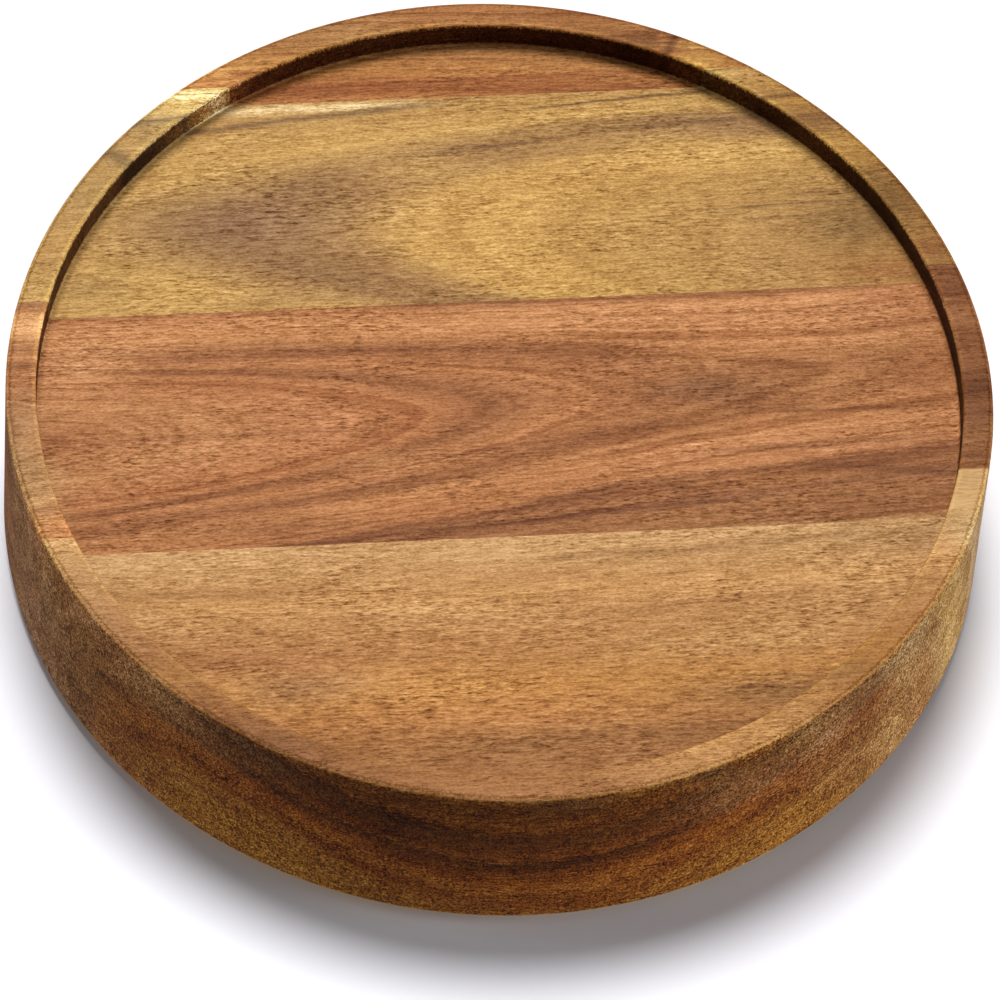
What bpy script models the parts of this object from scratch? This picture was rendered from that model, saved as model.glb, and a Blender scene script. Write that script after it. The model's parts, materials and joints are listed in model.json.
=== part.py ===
"""Lazy susan turntable: a round wooden tray that turns on a ball bearing above a small base board.

Metres, +Z up. The origin is on the table top, under the centre of the tray, and the wood's grain runs along X.

The tray is glued up from four staves, then turned: a recess with a raised rim on top and a pocket underneath.
In the pocket, an aluminium ring bearing joins it to the base board, which is glued up from three staves and
stands on four screwed-on rubber feet. The bearing's outer ring is screwed up into the tray, and its inner ring
down into the base board, with a nylon cage between them that spaces the steel balls. The outer ring's screws are
driven through the access hole in the base board, as the tray is turned until each one is over the hole.
"""

import math

import bmesh
import bpy
from mathutils import Matrix, Vector

GAP = 0.0003  # between pieces that touch each other
CUT = 0.002  # how far a cutter reaches past the face it opens

# Tray
TRAY_RADIUS = 0.127
TRAY_HEIGHT = 0.0535
TABLE_GAP = 0.0035  # from the table top to the tray's underside
RIM_WIDTH = 0.0078
RECESS_DEPTH = 0.008
RECESS_COVE = 0.0025
RIM_INNER_ROUND = 0.0008
TRAY_EDGE_ROUND = 0.0014
TRAY_SEGMENTS = 72

# Base board
BASE_RADIUS = 0.080
BASE_THICKNESS = 0.012
BASE_EDGE_ROUND = 0.0012
BASE_SEGMENTS = 60
POCKET_CLEARANCE = 0.004  # around the base board
ACCESS_HOLE_RADIUS = 0.007
ACCESS_HOLE_ANGLE = 0.0
ACCESS_HOLE_SEGMENTS = 24

# Ring bearing. Both rings have one height, and one is set higher so that neither rubs on the other's board.
BALL_COUNT = 20
BALL_RADIUS = 0.0025
BALL_SEGMENTS = 10
BALL_STEPS = 6
PITCH_RADIUS = 0.058
RING_HEIGHT = 0.0085
RING_OFFSET = 0.001
RING_OUTER_RADIUS = 0.070
RING_INNER_RADIUS = 0.0452
RING_SPLIT = 0.0026  # radial gap between the two rings
RING_CHAMFER = 0.0005
RING_SEGMENTS = 60
GROOVE_STEPS = 5
CAGE_THICKNESS = 0.0014
CAGE_BELOW = 0.004  # from the balls' centres down to the cage's lower edge
CAGE_ABOVE = 0.0026
CAGE_POCKET_STEPS = 6
CAGE_POCKET_DRAFT = 0.0001  # how much wider the mouth of each ball's pocket is, on each side
PLUG_RADIUS = 0.0025
PLUG_ANGLE = 60.0
PLUG_SLOT_WIDTH = 0.0008
PLUG_SLOT_DEPTH = 0.0012

# Rubber feet
FOOT_HEIGHT = 0.005
FOOT_RADIUS = 0.009
FOOT_TAPER = 0.001
FOOT_EDGE_ROUND = 0.0008
FOOT_SEGMENTS = 24
FOOT_CIRCLE_RADIUS = 0.066
FOOT_RECESS_RADIUS = 0.0046
FOOT_RECESS_DEPTH = 0.0024
FOOT_ANGLES = (45.0, 135.0, 225.0, 315.0)

# Wood screws
SHANK_RADIUS = 0.0016
SCREW_SEGMENTS = 12
SCREW_POINT_RADIUS = 0.0002
SCREW_POINT_LENGTH = 0.0035
DRIVER_SLOT_WIDTH = 0.0009
RING_SCREW_LENGTH = 0.016
RING_SCREW_HEAD_RADIUS = 0.0035
RING_SCREW_HEAD_HEIGHT = 0.0022
RING_SCREW_DRIVER = (0.0019, 0.0013)  # half width and depth of the cross recess
FOOT_SCREW_LENGTH = 0.011
FOOT_SCREW_HEAD_RADIUS = 0.0034
FOOT_SCREW_HEAD_HEIGHT = 0.0016
FOOT_SCREW_DRIVER = (0.0016, 0.001)
OUTER_SCREW_RADIUS = 0.0654
OUTER_SCREW_ANGLES = (15.0, 105.0, 195.0, 285.0)
INNER_SCREW_RADIUS = 0.0503
INNER_SCREW_ANGLES = (0.0, 90.0, 180.0, 270.0)

# Each stave's front and rear side along Y, as shares of the radius. The outermost ones reach past the edge.
PAST_EDGE = 1.05
TRAY_STAVES = {
    "tray_stave_rear": (0.80, PAST_EDGE),
    "tray_stave_mid_rear": (0.27, 0.80),
    "tray_stave_mid_front": (-0.32, 0.27),
    "tray_stave_front": (-PAST_EDGE, -0.32),
}
BASE_STAVES = {
    "base_stave_rear": (0.29, PAST_EDGE),
    "base_stave_middle": (-0.37, 0.29),
    "base_stave_front": (-PAST_EDGE, -0.37),
}

# Levels, from the table top upwards
BASE_BOTTOM = FOOT_HEIGHT + GAP
BASE_TOP = BASE_BOTTOM + BASE_THICKNESS
INNER_RING_BOTTOM = BASE_TOP + GAP
INNER_RING_TOP = INNER_RING_BOTTOM + RING_HEIGHT
OUTER_RING_BOTTOM = INNER_RING_BOTTOM + RING_OFFSET
OUTER_RING_TOP = OUTER_RING_BOTTOM + RING_HEIGHT
POCKET_CEILING = OUTER_RING_TOP + GAP
TRAY_BOTTOM = TABLE_GAP
TRAY_TOP = TRAY_BOTTOM + TRAY_HEIGHT
TRAY_FLOOR = TRAY_TOP - RECESS_DEPTH
BALL_LEVEL = (OUTER_RING_BOTTOM + INNER_RING_TOP) / 2

BALL_GROOVE_RADIUS = BALL_RADIUS + GAP
OUTER_RING_BORE = PITCH_RADIUS + RING_SPLIT / 2
INNER_RING_RIM = PITCH_RADIUS - RING_SPLIT / 2
SCREW_HOLE_RADIUS = SHANK_RADIUS + GAP
UPSIDE_DOWN = (math.pi, 0.0, 0.0)
OUTWARDS_AT_PLUG = (0.0, math.pi / 2, math.radians(PLUG_ANGLE))  # turns +Z to point out of the ring there


# Objects and materials


def clear_scene():
    for obj in list(bpy.data.objects):
        bpy.data.objects.remove(obj, do_unlink=True)


def material(name, colour, roughness, metallic=0.0):
    made = bpy.data.materials.new(name)
    made.use_nodes = True
    shader = made.node_tree.nodes["Principled BSDF"]
    shader.inputs["Base Color"].default_value = (*colour, 1.0)
    shader.inputs["Roughness"].default_value = roughness
    shader.inputs["Metallic"].default_value = metallic
    return made


def empty(name, parent=None):
    made = bpy.data.objects.new(name, None)
    bpy.context.scene.collection.objects.link(made)
    made.parent = parent
    return made


def put(name, mesh, parent=None, finish=None, location=(0.0, 0.0, 0.0), rotation=(0.0, 0.0, 0.0)):
    made = bpy.data.objects.new(name, mesh)
    bpy.context.scene.collection.objects.link(made)
    made.parent = parent
    made.location = location
    made.rotation_euler = rotation
    if finish is not None and not mesh.materials:
        mesh.materials.append(finish)
    return made


def cutter(name, mesh, location=(0.0, 0.0, 0.0), rotation=(0.0, 0.0, 0.0)):
    """A shape for a Boolean, which isn't part of the object itself."""
    made = put(name, mesh, location=location, rotation=rotation)
    made.hide_render = True
    made.display_type = "WIRE"
    return made


def boolean(obj, other, operation="DIFFERENCE"):
    step = obj.modifiers.new(other.name, "BOOLEAN")
    step.object = other
    step.operation = operation
    step.solver = "EXACT"


def applied(obj, cutters):
    """The object's mesh with its Booleans applied, for several copies to share. The objects are removed."""
    bpy.context.view_layer.update()
    graph = bpy.context.evaluated_depsgraph_get()
    mesh = bpy.data.meshes.new_from_object(obj.evaluated_get(graph))
    mesh.name = obj.name
    for used in (obj, *cutters):
        bpy.data.objects.remove(used, do_unlink=True)
    return mesh


# Shapes


def on_circle(radius, degrees, level=0.0):
    angle = math.radians(degrees)
    return Vector((radius * math.cos(angle), radius * math.sin(angle), level))


def arc(centre, radius, start, end, steps):
    """Points of an arc in a profile's (radius, height) plane, from one angle to another in degrees."""
    angles = [math.radians(start + (end - start) * i / steps) for i in range(steps + 1)]
    return [(centre[0] + radius * math.cos(a), centre[1] + radius * math.sin(a)) for a in angles]


def finished(bm, name, sharp_from=35.0):
    bmesh.ops.recalc_face_normals(bm, faces=bm.faces)
    mesh = bpy.data.meshes.new(name)
    bm.to_mesh(mesh)
    bm.free()
    mesh.shade_smooth()
    mesh.set_sharp_from_angle(angle=math.radians(sharp_from))
    return mesh


def turned(name, profile, segments, ring=False):
    """A profile turned about Z. A ring's profile is closed. Any other ends in a flat face at each end."""
    bm = bmesh.new()
    points = [bm.verts.new((radius, 0.0, height)) for radius, height in profile]
    lines = [bm.edges.new(pair) for pair in zip(points, points[1:])]
    if ring:
        lines.append(bm.edges.new((points[-1], points[0])))
    bmesh.ops.spin(
        bm, geom=points + lines, axis=(0.0, 0.0, 1.0), angle=math.tau, steps=segments, use_merge=True
    )
    if not ring:
        bmesh.ops.holes_fill(bm, edges=[edge for edge in bm.edges if edge.is_boundary])
    return finished(bm, name)


def rod(name, radius, start, end, segments=SCREW_SEGMENTS):
    return turned(name, [(radius, start), (radius, end)], segments)


def box(name, low, high):
    bm = bmesh.new()
    size = Vector(high) - Vector(low)
    centre = (Vector(high) + Vector(low)) / 2
    bmesh.ops.create_cube(bm, matrix=Matrix.Translation(centre) @ Matrix.Diagonal((*size, 1.0)))
    return finished(bm, name)


# Wooden boards


def tray_profile():
    """From the edge of the pocket's ceiling, down and round the outside, to the edge of the tray's floor."""
    pocket = BASE_RADIUS + POCKET_CLEARANCE
    recess = TRAY_RADIUS - RIM_WIDTH
    edge, inner = TRAY_EDGE_ROUND, RIM_INNER_ROUND
    return [
        (pocket, POCKET_CEILING),
        *arc((pocket + inner, TRAY_BOTTOM + inner), inner, 180, 270, 2),
        *arc((TRAY_RADIUS - edge, TRAY_BOTTOM + edge), edge, 270, 360, 2),
        *arc((TRAY_RADIUS - edge, TRAY_TOP - edge), edge, 0, 90, 2),
        *arc((recess + inner, TRAY_TOP - inner), inner, 90, 180, 2),
        *arc((recess - RECESS_COVE, TRAY_FLOOR + RECESS_COVE), RECESS_COVE, 0, -90, 3),
    ]


def base_profile():
    edge = BASE_EDGE_ROUND
    return [
        *arc((BASE_RADIUS - edge, BASE_BOTTOM + edge), edge, 270, 360, 2),
        *arc((BASE_RADIUS - edge, BASE_TOP - edge), edge, 0, 90, 2),
    ]


class Board:
    """A turned board, cut along X into staves with a glue line between neighbours."""

    def __init__(self, name, profile, segments, radius, shares, parent, finishes):
        blank = cutter(name, turned(name, profile, segments))
        reach = PAST_EDGE * radius
        low = min(height for _, height in profile) - CUT
        high = max(height for _, height in profile) + CUT
        self.sides = {stave: (front * radius, rear * radius) for stave, (front, rear) in shares.items()}
        self.staves = {}
        for stave, (front, rear) in self.sides.items():
            block = box(stave, (-reach, front + GAP / 2, low), (reach, rear - GAP / 2, high))
            self.staves[stave] = put(stave, block, parent, finishes[stave])
            boolean(self.staves[stave], blank, "INTERSECT")

    def drill(self, name, point, radius, start, end, segments=SCREW_SEGMENTS):
        """Drills a hole along Z, into the stave in which the point lies."""
        for stave, (front, rear) in self.sides.items():
            if front < point.y < rear:
                bit = rod(name, radius, start, end, segments)
                boolean(self.staves[stave], cutter(name, bit, (point.x, point.y, 0.0)))


def build_tray(parent, finishes):
    board = Board("tray_blank", tray_profile(), TRAY_SEGMENTS, TRAY_RADIUS, TRAY_STAVES, parent, finishes)
    tip = OUTER_RING_BOTTOM + RING_SCREW_LENGTH + GAP
    for number, angle in enumerate(OUTER_SCREW_ANGLES, 1):
        point = on_circle(OUTER_SCREW_RADIUS, angle)
        board.drill(f"tray_pilot_{number}", point, SCREW_HOLE_RADIUS, POCKET_CEILING - CUT, tip)


def build_base_board(parent, finishes):
    board = Board("base_blank", base_profile(), BASE_SEGMENTS, BASE_RADIUS, BASE_STAVES, parent, finishes)
    tip = INNER_RING_TOP - RING_SCREW_LENGTH - GAP
    for number, angle in enumerate(INNER_SCREW_ANGLES, 1):
        point = on_circle(INNER_SCREW_RADIUS, angle)
        board.drill(f"ring_pilot_{number}", point, SCREW_HOLE_RADIUS, tip, BASE_TOP + CUT)
    tip = FOOT_RECESS_DEPTH + FOOT_SCREW_LENGTH
    for number, angle in enumerate(FOOT_ANGLES, 1):
        point = on_circle(FOOT_CIRCLE_RADIUS, angle)
        board.drill(f"foot_pilot_{number}", point, SCREW_HOLE_RADIUS, BASE_BOTTOM - CUT, tip)
    point = on_circle(OUTER_SCREW_RADIUS, ACCESS_HOLE_ANGLE)
    through = BASE_BOTTOM - CUT, BASE_TOP + CUT
    board.drill("access_hole", point, ACCESS_HOLE_RADIUS, *through, ACCESS_HOLE_SEGMENTS)


# Bearing


def ball_groove(middle):
    """The ball groove's arc, upwards. Its middle is at 0 degrees on the outer ring and at 180 on the inner."""
    half = math.degrees(math.acos(RING_SPLIT / 2 / BALL_GROOVE_RADIUS))
    turn = 1 if middle == 0 else -1
    centre = (PITCH_RADIUS, BALL_LEVEL)
    return arc(centre, BALL_GROOVE_RADIUS, middle - turn * half, middle + turn * half, GROOVE_STEPS)


def ring_profile(groove_face, plain_face, bottom, middle):
    """A ring's closed section: its grooved face upwards, then its plain face downwards, with small chamfers."""
    top = bottom + RING_HEIGHT
    inward = math.copysign(RING_CHAMFER, plain_face - groove_face)
    return [
        (groove_face + inward, bottom),
        (groove_face, bottom + RING_CHAMFER),
        *ball_groove(middle),
        (groove_face, top - RING_CHAMFER),
        (groove_face + inward, top),
        (plain_face - inward, top),
        (plain_face, top - RING_CHAMFER),
        (plain_face, bottom + RING_CHAMFER),
        (plain_face - inward, bottom),
    ]


def countersink(name):
    """Cuts a countersunk hole down -Z from a face at the origin, the gap wider than the screw all over."""
    slope = (RING_SCREW_HEAD_RADIUS - SHANK_RADIUS) / RING_SCREW_HEAD_HEIGHT
    mouth = RING_SCREW_HEAD_RADIUS + GAP * math.hypot(1, slope)
    shoulder = (mouth - SCREW_HOLE_RADIUS) / slope
    shank = [(SCREW_HOLE_RADIUS, -RING_HEIGHT - CUT), (SCREW_HOLE_RADIUS, -shoulder)]
    return turned(name, [*shank, (mouth, 0.0), (mouth, CUT)], SCREW_SEGMENTS)


def build_ring(name, section, screw_circle, screw_angles, screw_level, screw_rotation, parent, finish):
    ring = put(name, turned(name, section, RING_SEGMENTS, ring=True), parent, finish)
    for number, angle in enumerate(screw_angles, 1):
        hole = f"{name}_hole_{number}"
        place = on_circle(screw_circle, angle, screw_level)
        boolean(ring, cutter(hole, countersink(hole), place, screw_rotation))
    return ring


def build_outer_ring(parent, finish):
    section = ring_profile(OUTER_RING_BORE, RING_OUTER_RADIUS, OUTER_RING_BOTTOM, 0)
    screws = OUTER_SCREW_RADIUS, OUTER_SCREW_ANGLES, OUTER_RING_BOTTOM, UPSIDE_DOWN
    ring = build_ring("bearing_outer_ring", section, *screws, parent, finish)
    bore = rod("ball_filling_hole", PLUG_RADIUS + GAP, OUTER_RING_BORE - CUT, RING_OUTER_RADIUS + CUT)
    boolean(ring, cutter("ball_filling_hole", bore, (0.0, 0.0, BALL_LEVEL), OUTWARDS_AT_PLUG))


def build_inner_ring(parent, finish):
    section = ring_profile(INNER_RING_RIM, RING_INNER_RADIUS, INNER_RING_BOTTOM, 180)
    screws = INNER_SCREW_RADIUS, INNER_SCREW_ANGLES, INNER_RING_TOP, (0.0, 0.0, 0.0)
    build_ring("bearing_inner_ring", section, *screws, parent, finish)


def build_plug(parent, finish):
    """The slotted plug that closes the hole through which the balls are filled in."""
    start, end = PITCH_RADIUS + BALL_GROOVE_RADIUS + GAP, RING_OUTER_RADIUS - GAP
    blank = put("ball_filling_plug", rod("ball_filling_plug", PLUG_RADIUS, start, end))
    low = (-PLUG_SLOT_WIDTH / 2, -PLUG_RADIUS - CUT, end - PLUG_SLOT_DEPTH)
    high = (PLUG_SLOT_WIDTH / 2, PLUG_RADIUS + CUT, end + CUT)
    slot = cutter("plug_slot", box("plug_slot", low, high))
    boolean(blank, slot)
    mesh = applied(blank, [slot])
    put("ball_filling_plug", mesh, parent, finish, (0.0, 0.0, BALL_LEVEL), OUTWARDS_AT_PLUG)


def build_cage(parent, finish):
    """A crown cage: a low rail round the bearing, with an open pocket from above for each ball."""
    pitch = math.tau * PITCH_RADIUS / BALL_COUNT
    mouth = BALL_GROOVE_RADIUS + CAGE_POCKET_DRAFT
    pocket = arc((0.0, 0.0), BALL_GROOVE_RADIUS, -180, 0, CAGE_POCKET_STEPS)
    upper_edge = [(-pitch / 2, CAGE_ABOVE), (-mouth, CAGE_ABOVE), *pocket, (mouth, CAGE_ABOVE)]
    inside, outside = PITCH_RADIUS - CAGE_THICKNESS / 2, PITCH_RADIUS + CAGE_THICKNESS / 2
    bm = bmesh.new()
    sections = []
    for ball in range(BALL_COUNT):
        for along, height in upper_edge:
            degrees = math.degrees((ball * pitch + along) / PITCH_RADIUS)
            corners = (inside, -CAGE_BELOW), (outside, -CAGE_BELOW), (outside, height), (inside, height)
            sections.append([bm.verts.new(on_circle(radius, degrees, level)) for radius, level in corners])
    for section, after in zip(sections, sections[1:] + sections[:1]):
        for corner in range(4):
            following = (corner + 1) % 4
            bm.faces.new((section[corner], after[corner], after[following], section[following]))
    put("ball_cage", finished(bm, "ball_cage"), parent, finish, (0.0, 0.0, BALL_LEVEL))


def build_balls(parent, finish):
    bm = bmesh.new()
    bmesh.ops.create_uvsphere(bm, u_segments=BALL_SEGMENTS, v_segments=BALL_STEPS, radius=BALL_RADIUS)
    mesh = finished(bm, "ball", sharp_from=60.0)
    for number in range(BALL_COUNT):
        place = on_circle(PITCH_RADIUS, 360 * number / BALL_COUNT, BALL_LEVEL)
        put(f"ball_{number + 1:02d}", mesh, parent, finish, place)


# Screws and feet


def screw_mesh(name, length, head, driver):
    """A wood screw that points down -Z, with the top of its head at the origin and a cross recess in it."""
    point = [(SCREW_POINT_RADIUS, -length), (SHANK_RADIUS, SCREW_POINT_LENGTH - length)]
    blank = put(name, turned(name, [*point, *head], SCREW_SEGMENTS))
    reach, depth = driver
    half = DRIVER_SLOT_WIDTH / 2
    slots = []
    for number, turn in enumerate((0.0, math.pi / 2), 1):
        slot = box(f"{name}_slot_{number}", (-reach, -half, -depth), (reach, half, CUT))
        slots.append(cutter(slot.name, slot, rotation=(0.0, 0.0, turn)))
        boolean(blank, slots[-1])
    return applied(blank, slots)


def build_ring_screws(tray, base, finish):
    head = [(SHANK_RADIUS, -RING_SCREW_HEAD_HEIGHT), (RING_SCREW_HEAD_RADIUS, 0.0)]
    mesh = screw_mesh("ring_screw", RING_SCREW_LENGTH, head, RING_SCREW_DRIVER)
    for number, angle in enumerate(OUTER_SCREW_ANGLES, 1):
        place = on_circle(OUTER_SCREW_RADIUS, angle, OUTER_RING_BOTTOM)
        put(f"outer_ring_screw_{number}", mesh, tray, finish, place, UPSIDE_DOWN)
    for number, angle in enumerate(INNER_SCREW_ANGLES, 1):
        place = on_circle(INNER_SCREW_RADIUS, angle, INNER_RING_TOP)
        put(f"inner_ring_screw_{number}", mesh, base, finish, place)


def foot_profile():
    """A rubber foot's closed section: a tapered pad, hollowed from below for its screw's head."""
    tread = FOOT_RADIUS - FOOT_TAPER
    edge = FOOT_EDGE_ROUND
    return [
        (FOOT_RECESS_RADIUS, 0.0),
        *arc((tread - edge, edge), edge, 270, 360, 2),
        (FOOT_RADIUS, FOOT_HEIGHT),
        (SCREW_HOLE_RADIUS, FOOT_HEIGHT),
        (SCREW_HOLE_RADIUS, FOOT_RECESS_DEPTH),
        (FOOT_RECESS_RADIUS, FOOT_RECESS_DEPTH),
    ]


def build_feet(parent, rubber, steel):
    rise, radius = FOOT_SCREW_HEAD_HEIGHT, FOOT_SCREW_HEAD_RADIUS
    pad = turned("rubber_foot", foot_profile(), FOOT_SEGMENTS, ring=True)
    head = [(SHANK_RADIUS, -rise), (radius, -rise), (radius, -0.5 * rise), (0.7 * radius, 0.0)]
    screw = screw_mesh("foot_screw", FOOT_SCREW_LENGTH + rise, head, FOOT_SCREW_DRIVER)
    for number, angle in enumerate(FOOT_ANGLES, 1):
        put(f"rubber_foot_{number}", pad, parent, rubber, on_circle(FOOT_CIRCLE_RADIUS, angle))
        place = on_circle(FOOT_CIRCLE_RADIUS, angle, FOOT_RECESS_DEPTH - GAP - rise)
        put(f"foot_screw_{number}", screw, parent, steel, place, UPSIDE_DOWN)


def main():
    clear_scene()
    brown = material("acacia_brown", (0.42, 0.20, 0.08), 0.5)
    olive = material("acacia_olive", (0.50, 0.33, 0.12), 0.5)
    red = material("acacia_red", (0.50, 0.21, 0.10), 0.5)
    golden = material("acacia_golden", (0.52, 0.28, 0.11), 0.5)
    aluminium = material("aluminium", (0.75, 0.76, 0.78), 0.35, 1.0)
    zinc = material("zinc_plated_steel", (0.70, 0.70, 0.66), 0.3, 1.0)
    ball_steel = material("ball_steel", (0.80, 0.80, 0.82), 0.12, 1.0)
    brass = material("brass", (0.78, 0.60, 0.28), 0.3, 1.0)
    nylon = material("nylon", (0.85, 0.84, 0.78), 0.5)
    rubber = material("rubber", (0.03, 0.03, 0.03), 0.8)

    base = empty("base_axis")
    tray = empty("tray_spin_axis", base)
    cage = empty("cage_spin_axis", base)

    build_tray(tray, dict(zip(TRAY_STAVES, (brown, olive, red, golden))))
    build_outer_ring(tray, aluminium)
    build_plug(tray, brass)
    build_base_board(base, dict(zip(BASE_STAVES, (golden, brown, olive))))
    build_inner_ring(base, aluminium)
    build_ring_screws(tray, base, zinc)
    build_feet(base, rubber, zinc)
    build_cage(cage, nylon)
    build_balls(cage, ball_steel)


main()
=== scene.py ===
"""The looks of the lazy susan turntable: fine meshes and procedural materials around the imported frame.

Metres in space. The wood's texture is worked out in millimetres. Its grain runs along X.
"""

import json
import math

import bmesh
import bpy
from mathutils import Matrix, Vector


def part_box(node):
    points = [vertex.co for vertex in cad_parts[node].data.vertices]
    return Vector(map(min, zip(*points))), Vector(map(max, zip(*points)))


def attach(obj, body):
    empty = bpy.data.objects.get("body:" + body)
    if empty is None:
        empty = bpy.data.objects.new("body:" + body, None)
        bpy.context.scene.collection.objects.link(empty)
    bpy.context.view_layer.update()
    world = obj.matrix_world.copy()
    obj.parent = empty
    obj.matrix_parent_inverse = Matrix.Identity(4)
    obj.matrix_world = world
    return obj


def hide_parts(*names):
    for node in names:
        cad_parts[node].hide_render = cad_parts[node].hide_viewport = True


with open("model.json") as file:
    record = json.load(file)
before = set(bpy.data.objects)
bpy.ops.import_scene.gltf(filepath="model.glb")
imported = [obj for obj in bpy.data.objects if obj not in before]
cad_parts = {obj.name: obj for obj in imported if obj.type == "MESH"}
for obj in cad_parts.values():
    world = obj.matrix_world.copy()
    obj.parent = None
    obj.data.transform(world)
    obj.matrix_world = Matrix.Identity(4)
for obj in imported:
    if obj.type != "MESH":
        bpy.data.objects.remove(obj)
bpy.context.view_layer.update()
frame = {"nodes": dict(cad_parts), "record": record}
MM = 1000.0

# Camera: where it stands around the middle of the rim's plane, and how far it looks off that point
CAMERA_AZIMUTH = -8.72
CAMERA_ELEVATION = 53.66
CAMERA_DISTANCE = 2.568
CAMERA_LENS = 360.0
CAMERA_TILT_DOWN = 0.631
CAMERA_PAN_RIGHT = 0.081
CAMERA_ROLL = 4.666

# Sizes that the frame's boxes don't give
RIM_WIDTH = 0.0078
RECESS_COVE = 0.0012
RIM_INNER_ROUND = 0.0008
TRAY_EDGE_ROUND = 0.0014
BASE_EDGE_ROUND = 0.0012
POCKET_RADIUS = 0.084
GLUE_LINE = 0.00002
ACCESS_HOLE_RADIUS = 0.007
PITCH_RADIUS = 0.058
BALL_GROOVE_RADIUS = 0.0028
RING_SPLIT = 0.0026
RING_CHAMFER = 0.0005
INNER_BORE = 0.0452
FILLING_HOLE_ENDS = (0.055, 0.073)  # distances from the axis
PLUG_RADIUS = 0.0025
PLUG_CHAMFER = 0.0003
PLUG_SLOT_WIDTH = 0.0008
PLUG_SLOT_DEPTH = 0.0012
CAGE_THICKNESS = 0.0014
CAGE_POCKET_GAP = 0.0001
CAGE_POCKET_CHAMFER = 0.00025
SHANK_RADIUS = 0.0016
THREAD_PITCH = 0.0011
THREAD_CORE = 0.7  # the thread's core as a share of the shank
SCREW_GAP = 0.0003
SCREW_POINT_LENGTH = 0.0035
SCREW_BORE_DEPTH = 0.012
SCREW_HEAD_SLOPE_HEIGHT = 0.0022
RING_SCREW_THREAD_TOP = -0.0032  # from the top of the head
RING_SCREW_SLOT = (0.0019, 0.0013)  # half the driver slot's length, and its depth
FOOT_SCREW_HEAD_HEIGHT = 0.0016
FOOT_SCREW_HEAD_ROUND = 0.0011
FOOT_SCREW_SLOT = (0.0016, 0.001)
DRIVER_SLOT_WIDTH = 0.0009
FOOT_RECESS_RADIUS = 0.0046
FOOT_RECESS_DEPTH = 0.0024
FOOT_TAPER = 0.001
FOOT_EDGE_ROUND = 0.0008
CUTTER_OVERSHOOT = 0.002

# How finely the meshes are made
TRAY_SEGMENTS = 288
BASE_SEGMENTS = 192
RING_SEGMENTS = 144
FOOT_SEGMENTS = 64
PLUG_SEGMENTS = 48
BALL_SEGMENTS = 32
CUTTER_SEGMENTS = 32
SCREW_SEGMENTS = 24
THREAD_STEP = 0.00018
SHARP_FROM = 32.0

# Levels and radii from the frame
TRAY_LOW, TRAY_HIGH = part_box("tray_stave_mid_front")
TRAY_RADIUS = TRAY_HIGH.x
TRAY_BOTTOM = TRAY_LOW.z
TRAY_TOP = TRAY_HIGH.z
TRAY_FLOOR = next(m["pos_m"][2] for m in frame["record"]["mounts"] if m["name"] == "tray_floor")
RECESS_RADIUS = TRAY_RADIUS - RIM_WIDTH
OUTER_RING_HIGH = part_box("bearing_outer_ring")[1]
POCKET_CEILING = OUTER_RING_HIGH.z + SCREW_GAP
BASE_LOW, BASE_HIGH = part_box("base_stave_middle")
BALL_LOW, BALL_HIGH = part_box("ball_01")
BALL_LEVEL = (BALL_LOW.z + BALL_HIGH.z) / 2
BALL_RADIUS = (BALL_HIGH.z - BALL_LOW.z) / 2


# Node graphs


def linear(red, green, blue):
    """A colour given as screen values from 0 to 255, in the renderer's linear values."""
    levels = (value / 255 for value in (red, green, blue))
    return tuple(v / 12.92 if v <= 0.04045 else ((v + 0.055) / 1.055) ** 2.4 for v in levels)


class Value:
    """A number, colour or vector in a node graph, with arithmetic."""

    def __init__(self, graph, socket):
        self.graph = graph
        self.socket = socket

    def __add__(self, other):
        return self.graph.math("ADD", self, other)

    def __sub__(self, other):
        return self.graph.math("SUBTRACT", self, other)

    def __mul__(self, other):
        return self.graph.math("MULTIPLY", self, other)

    def __truediv__(self, other):
        return self.graph.math("DIVIDE", self, other)

    def __rsub__(self, other):
        return self.graph.math("SUBTRACT", other, self)

    __radd__ = __add__
    __rmul__ = __mul__


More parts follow.
